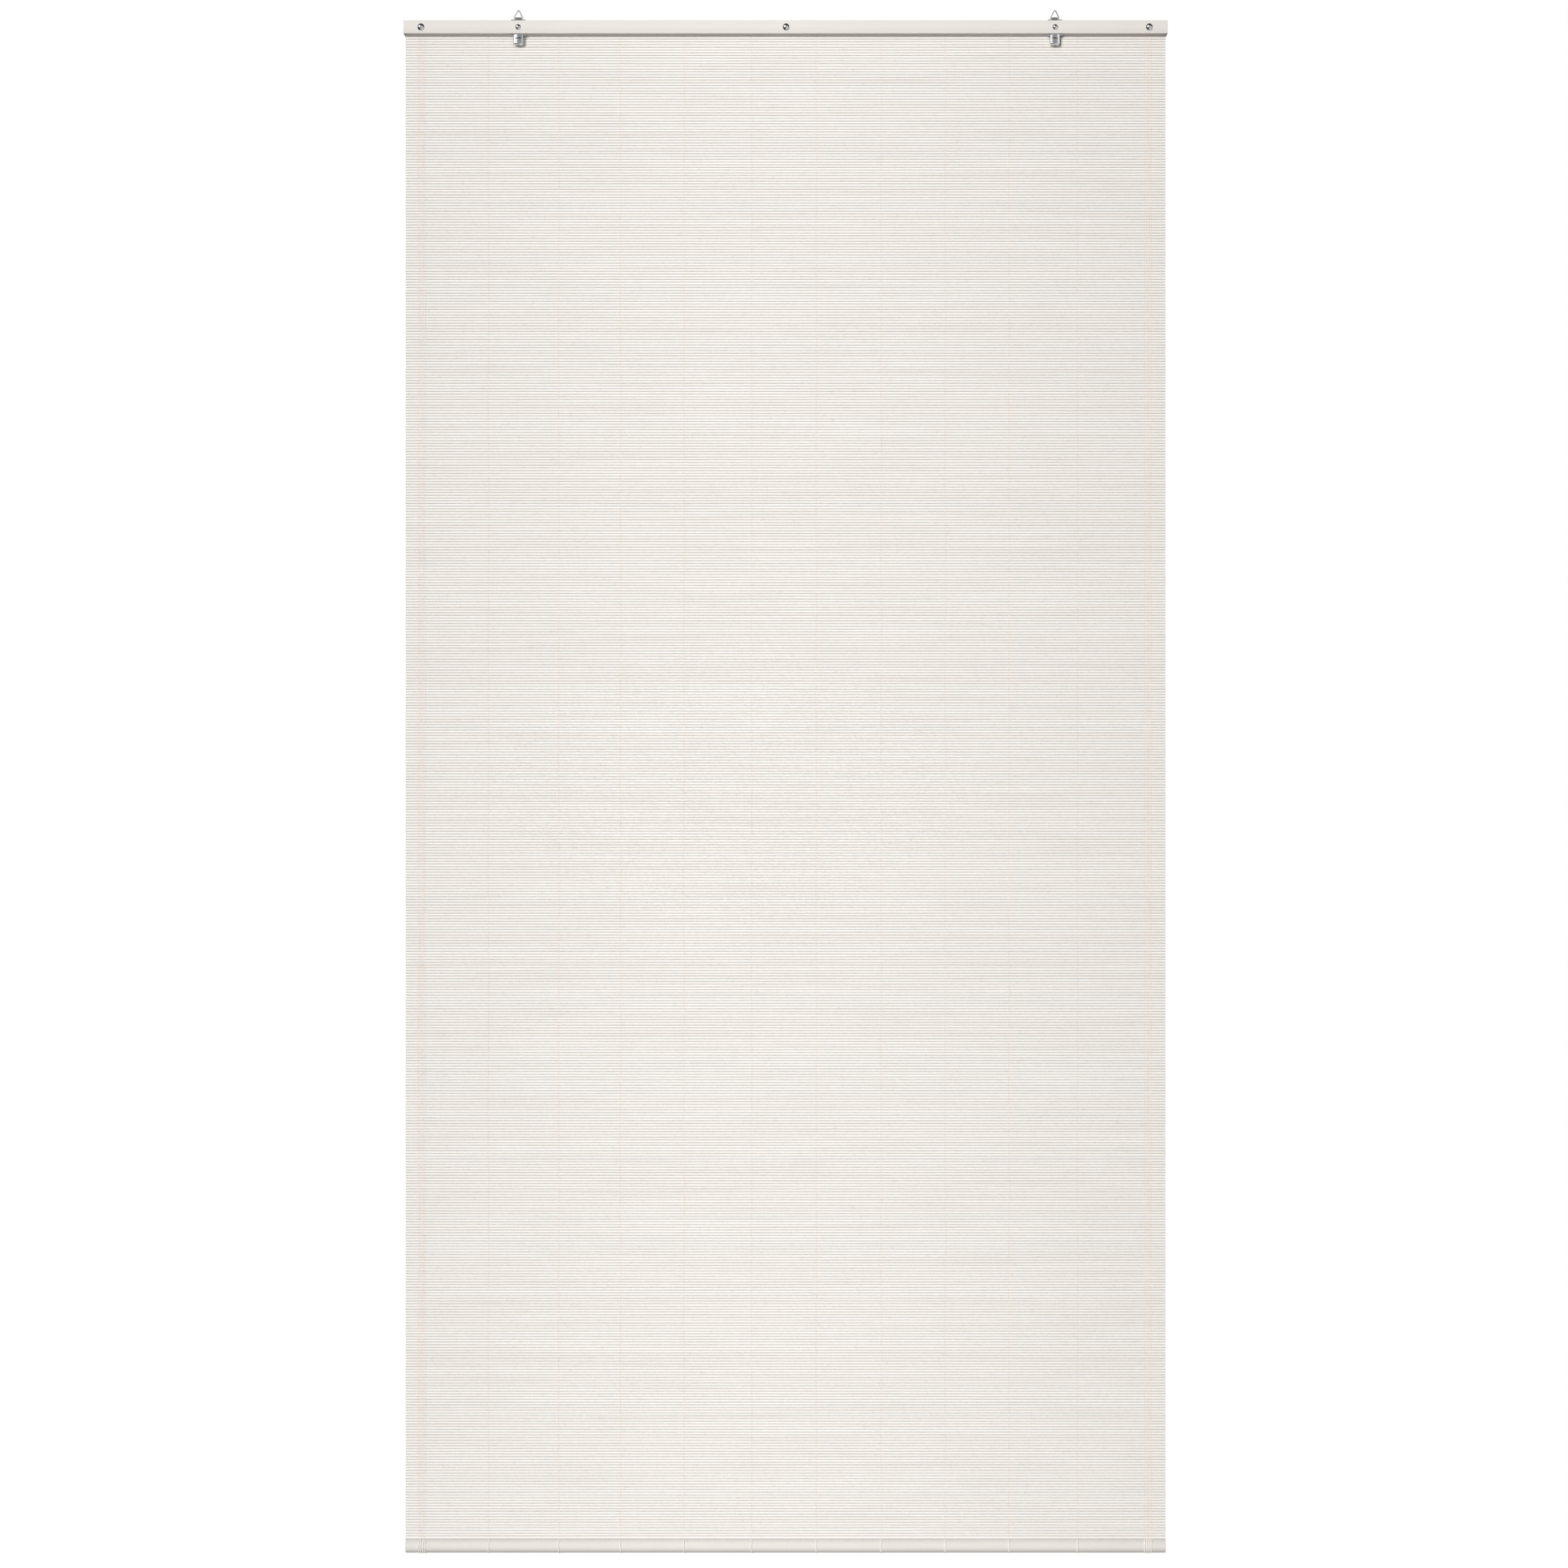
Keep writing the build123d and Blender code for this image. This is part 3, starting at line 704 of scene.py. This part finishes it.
def make_ring(side):
    node = f"hanging_ring_{side}"
    low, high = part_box(node)
    wire = (high.y - low.y) / 2
    middle = (low.x + high.x) / 2
    half_base = (high.x - low.x) / 2 - 1.1 * wire
    foot, peak = low.z + wire, high.z - wire
    corners = [(-half_base, foot), (half_base, foot), (RING_HALF_TOP, peak), (-RING_HALF_TOP, peak)]
    path = bent_path([np.array((middle + x, (low.y + high.y) / 2, z)) for x, z in corners], RING_BEND)
    vertices, faces = tube(path, (0, 1, 0), (wire, wire), RING_SIDES, 0, closed=True)
    piece = add_piece(f"ring_{side}", vertices, faces, "ring_wire", f"{side}_ring", (), ROUND_DEGREES)
    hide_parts(node)


# Pulley cases: pressed cups with a crowned front, a raised panel, an arched slot and two ears
CASE_SHEET = 0.8 * MM
CASE_CORNER = 2.3 * MM
CASE_EDGE = 1.5 * MM
CASE_CROWN = 0.6 * MM
BASE_INSET = 0.93
PANEL_RISE = 0.35 * MM
PANEL_HALF_WIDTH = 4.3 * MM
PANEL_LINES = (1.3 * MM, 1.7 * MM, 7.8 * MM, 8.2 * MM)
SLOT_LINES = (8.5 * MM, 9.8 * MM)
SLOT_ARCH = 0.5 * MM
NOTCH_HALF_WIDTH = 1.8 * MM
NOTCH_REACH = 2.4 * MM
EAR_REACH = 3.2 * MM
EAR_DEPTH = 5.6 * MM
EAR_CORNER = 1.4 * MM
EAR_BEVEL = 0.2 * MM


def joined_steps(marks, counts):
    """Marks with evenly spaced steps between them."""
    steps = [np.linspace(a, b, n, endpoint=False) for a, b, n in zip(marks, marks[1:], counts)]
    return np.append(np.concatenate(steps), marks[-1])


def case_section(half_width, front, back, front_lines):
    """The case's outline at one height, from its back left edge round the front, as (x, y)."""
    turns = np.linspace(0, math.pi / 2, 6)
    shoulder = front + CASE_CROWN + CASE_EDGE
    side = [(-half_width, y) for y in np.linspace(back, shoulder, 4, endpoint=False)]
    bend = [(CASE_EDGE * (1 - math.cos(a)) - half_width, shoulder - CASE_EDGE * math.sin(a)) for a in turns]
    reach = half_width - CASE_EDGE
    face = [(x * reach, front + CASE_CROWN * x**2) for x in front_lines[1:-1]]
    left = side + bend
    return np.array(left + face + [(-x, y) for x, y in reversed(left)])


def thickened(name, vertices, faces, thickness):
    """A shell given its thickness towards the inside, as vertices and faces."""
    mesh = bpy.data.meshes.new(name)
    mesh.from_pydata([tuple(v) for v in vertices], [], faces)
    shell = bpy.data.objects.new(name, mesh)
    bpy.context.scene.collection.objects.link(shell)
    wall = shell.modifiers.new("wall", "SOLIDIFY")
    wall.thickness = thickness
    wall.offset = -1
    solid = shell.evaluated_get(bpy.context.evaluated_depsgraph_get()).to_mesh()
    points = np.array([v.co for v in solid.vertices])
    polygons = [tuple(f.vertices) for f in solid.polygons]
    bpy.data.objects.remove(shell)
    return points, polygons


def case_shell(middle, half_width, front, back, bottom, top):
    half_reach = half_width - CASE_EDGE
    panel_edge, panel_flat = PANEL_HALF_WIDTH, PANEL_HALF_WIDTH - PANEL_RISE
    marks = [-half_reach, -panel_edge, -panel_flat, panel_flat, panel_edge, half_reach]
    across = joined_steps([m / half_reach for m in marks], [3, 1, 18, 1, 3])
    lines = [top - bottom, SLOT_LINES[1], SLOT_LINES[0], *PANEL_LINES[::-1]]
    heights = joined_steps(lines, [9, 3, 1, 1, 14, 1])
    last_turn = math.asin(1 - PANEL_LINES[0] / CASE_EDGE)
    heights = np.append(heights, CASE_EDGE * (1 - np.sin(np.linspace(last_turn, math.pi / 2, 8)[1:])))
    vertices = []
    for height in heights:
        below_corner, below_edge = max(0, CASE_CORNER - height), max(0, CASE_EDGE - height)
        inset = CASE_CORNER - math.sqrt(CASE_CORNER**2 - below_corner**2)
        setback = CASE_EDGE - math.sqrt(CASE_EDGE**2 - below_edge**2)
        for x, y in case_section(half_width - inset, front + setback, back, across):
            on_front = y < front + CASE_CROWN + setback
            inside = min(panel_edge - abs(x), height - PANEL_LINES[0], PANEL_LINES[3] - height)
            rise = PANEL_RISE * min(max(inside / (panel_edge - panel_flat), 0), 1) if on_front else 0
            on_slot_top = height == SLOT_LINES[1] and abs(x) < 1.01 * panel_edge
            arched = SLOT_ARCH * (x / panel_edge) ** 2 if on_slot_top else 0
            vertices.append((middle + x, y - rise, bottom + height - arched))
    columns = len(vertices) // len(heights)
    faces = []
    for row in range(len(heights) - 1):
        for column in range(columns - 1):
            corners = (row * columns + column, (row + 1) * columns + column)
            centre = (vertices[corners[0]][0] + vertices[corners[0] + 1][0]) / 2 - middle
            in_slot = SLOT_LINES[0] < (heights[row] + heights[row + 1]) / 2 < SLOT_LINES[1]
            if in_slot and abs(centre) < panel_edge and vertices[corners[0]][1] < front + CASE_CROWN:
                continue
            faces.append((corners[0], corners[1], corners[1] + 1, corners[0] + 1))
    last_row = (len(heights) - 1) * columns
    rim = list(range(len(vertices), len(vertices) + columns))
    for x, y, z in vertices[last_row:]:
        vertices.append((middle + BASE_INSET * (x - middle), back + BASE_INSET * (y - back), z))
    faces += [(last_row + n, rim[n], rim[n] + 1, last_row + n + 1) for n in range(columns - 1)]
    for turn in np.linspace(0, math.pi, 9):
        x, y = NOTCH_HALF_WIDTH * math.cos(turn), back - NOTCH_REACH - NOTCH_HALF_WIDTH * math.sin(turn)
        rim.append(len(vertices))
        vertices.append((middle + x, y, bottom))
    faces.append(tuple(rim))
    return thickened("case", vertices, faces, CASE_SHEET)


def case_ear(side, start, end, middle_y, top, first):
    """A riveted ear: a plate with a rounded end and softened edges."""
    turns = np.linspace(-math.pi / 2, math.pi / 2, 13)
    rows = []
    for inset, z in ((EAR_BEVEL, CASE_SHEET), (0, CASE_SHEET - EAR_BEVEL), (0, EAR_BEVEL), (EAR_BEVEL, 0)):
        row = [(start, middle_y - EAR_DEPTH / 2 + inset, top - z)]
        for a in turns:
            corner = math.copysign(EAR_DEPTH / 2 - EAR_CORNER, a)
            reach = EAR_CORNER - inset
            x = end - side * (EAR_CORNER - reach * math.cos(a))
            row.append((x, middle_y + corner + reach * math.sin(a), top - z))
        row.append((start, middle_y + EAR_DEPTH / 2 - inset, top - z))
        rows.append(row)
    return np.array(rows).reshape(-1, 3), tube_faces(len(rows), len(rows[0]), first, closed=False)


def make_case(side):
    node = f"pulley_case_{side}"
    low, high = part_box(node)
    middle = (low.x + high.x) / 2
    half_width = (high.x - low.x) / 2 - EAR_REACH
    front, back = low.y + PANEL_RISE, high.y
    points, faces = case_shell(middle, half_width, front, back, low.z, high.z)
    meshes = [points]
    for way in (-1, 1):
        start, end = middle + way * (half_width - CASE_SHEET), middle + way * (half_width + EAR_REACH)
        ear, ear_faces = case_ear(way, start, end, (front + back) / 2, high.z, sum(map(len, meshes)))
        meshes.append(ear)
        faces += ear_faces
    piece = add_piece(f"case_{side}", np.vstack(meshes), faces, "plated_steel", "headrail", (), CASE_DEGREES)
    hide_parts(node)


# CAD nodes that stay: each gets its material
def dress_nodes():
    slots = {part["node"]: part["material_slot"] for part in frame["record"]["subparts"]}
    for name, node in frame["nodes"].items():
        node.data.materials.clear()
        node.data.materials.append(materials[slots[name]])


make_camera()
make_world()
make_key_light()
make_back_light()
make_strip_light()
make_floor()
materials = make_materials()
dress_nodes()
make_mat()
for yarn_number in range(1, YARN_COUNT + 1):
    make_yarns(yarn_number)
    make_cords(yarn_number)
for fitting_side in SIDES:
    make_ring(fitting_side)
    make_case(fitting_side)

scene = bpy.context.scene
scene.view_settings.view_transform = "Standard"
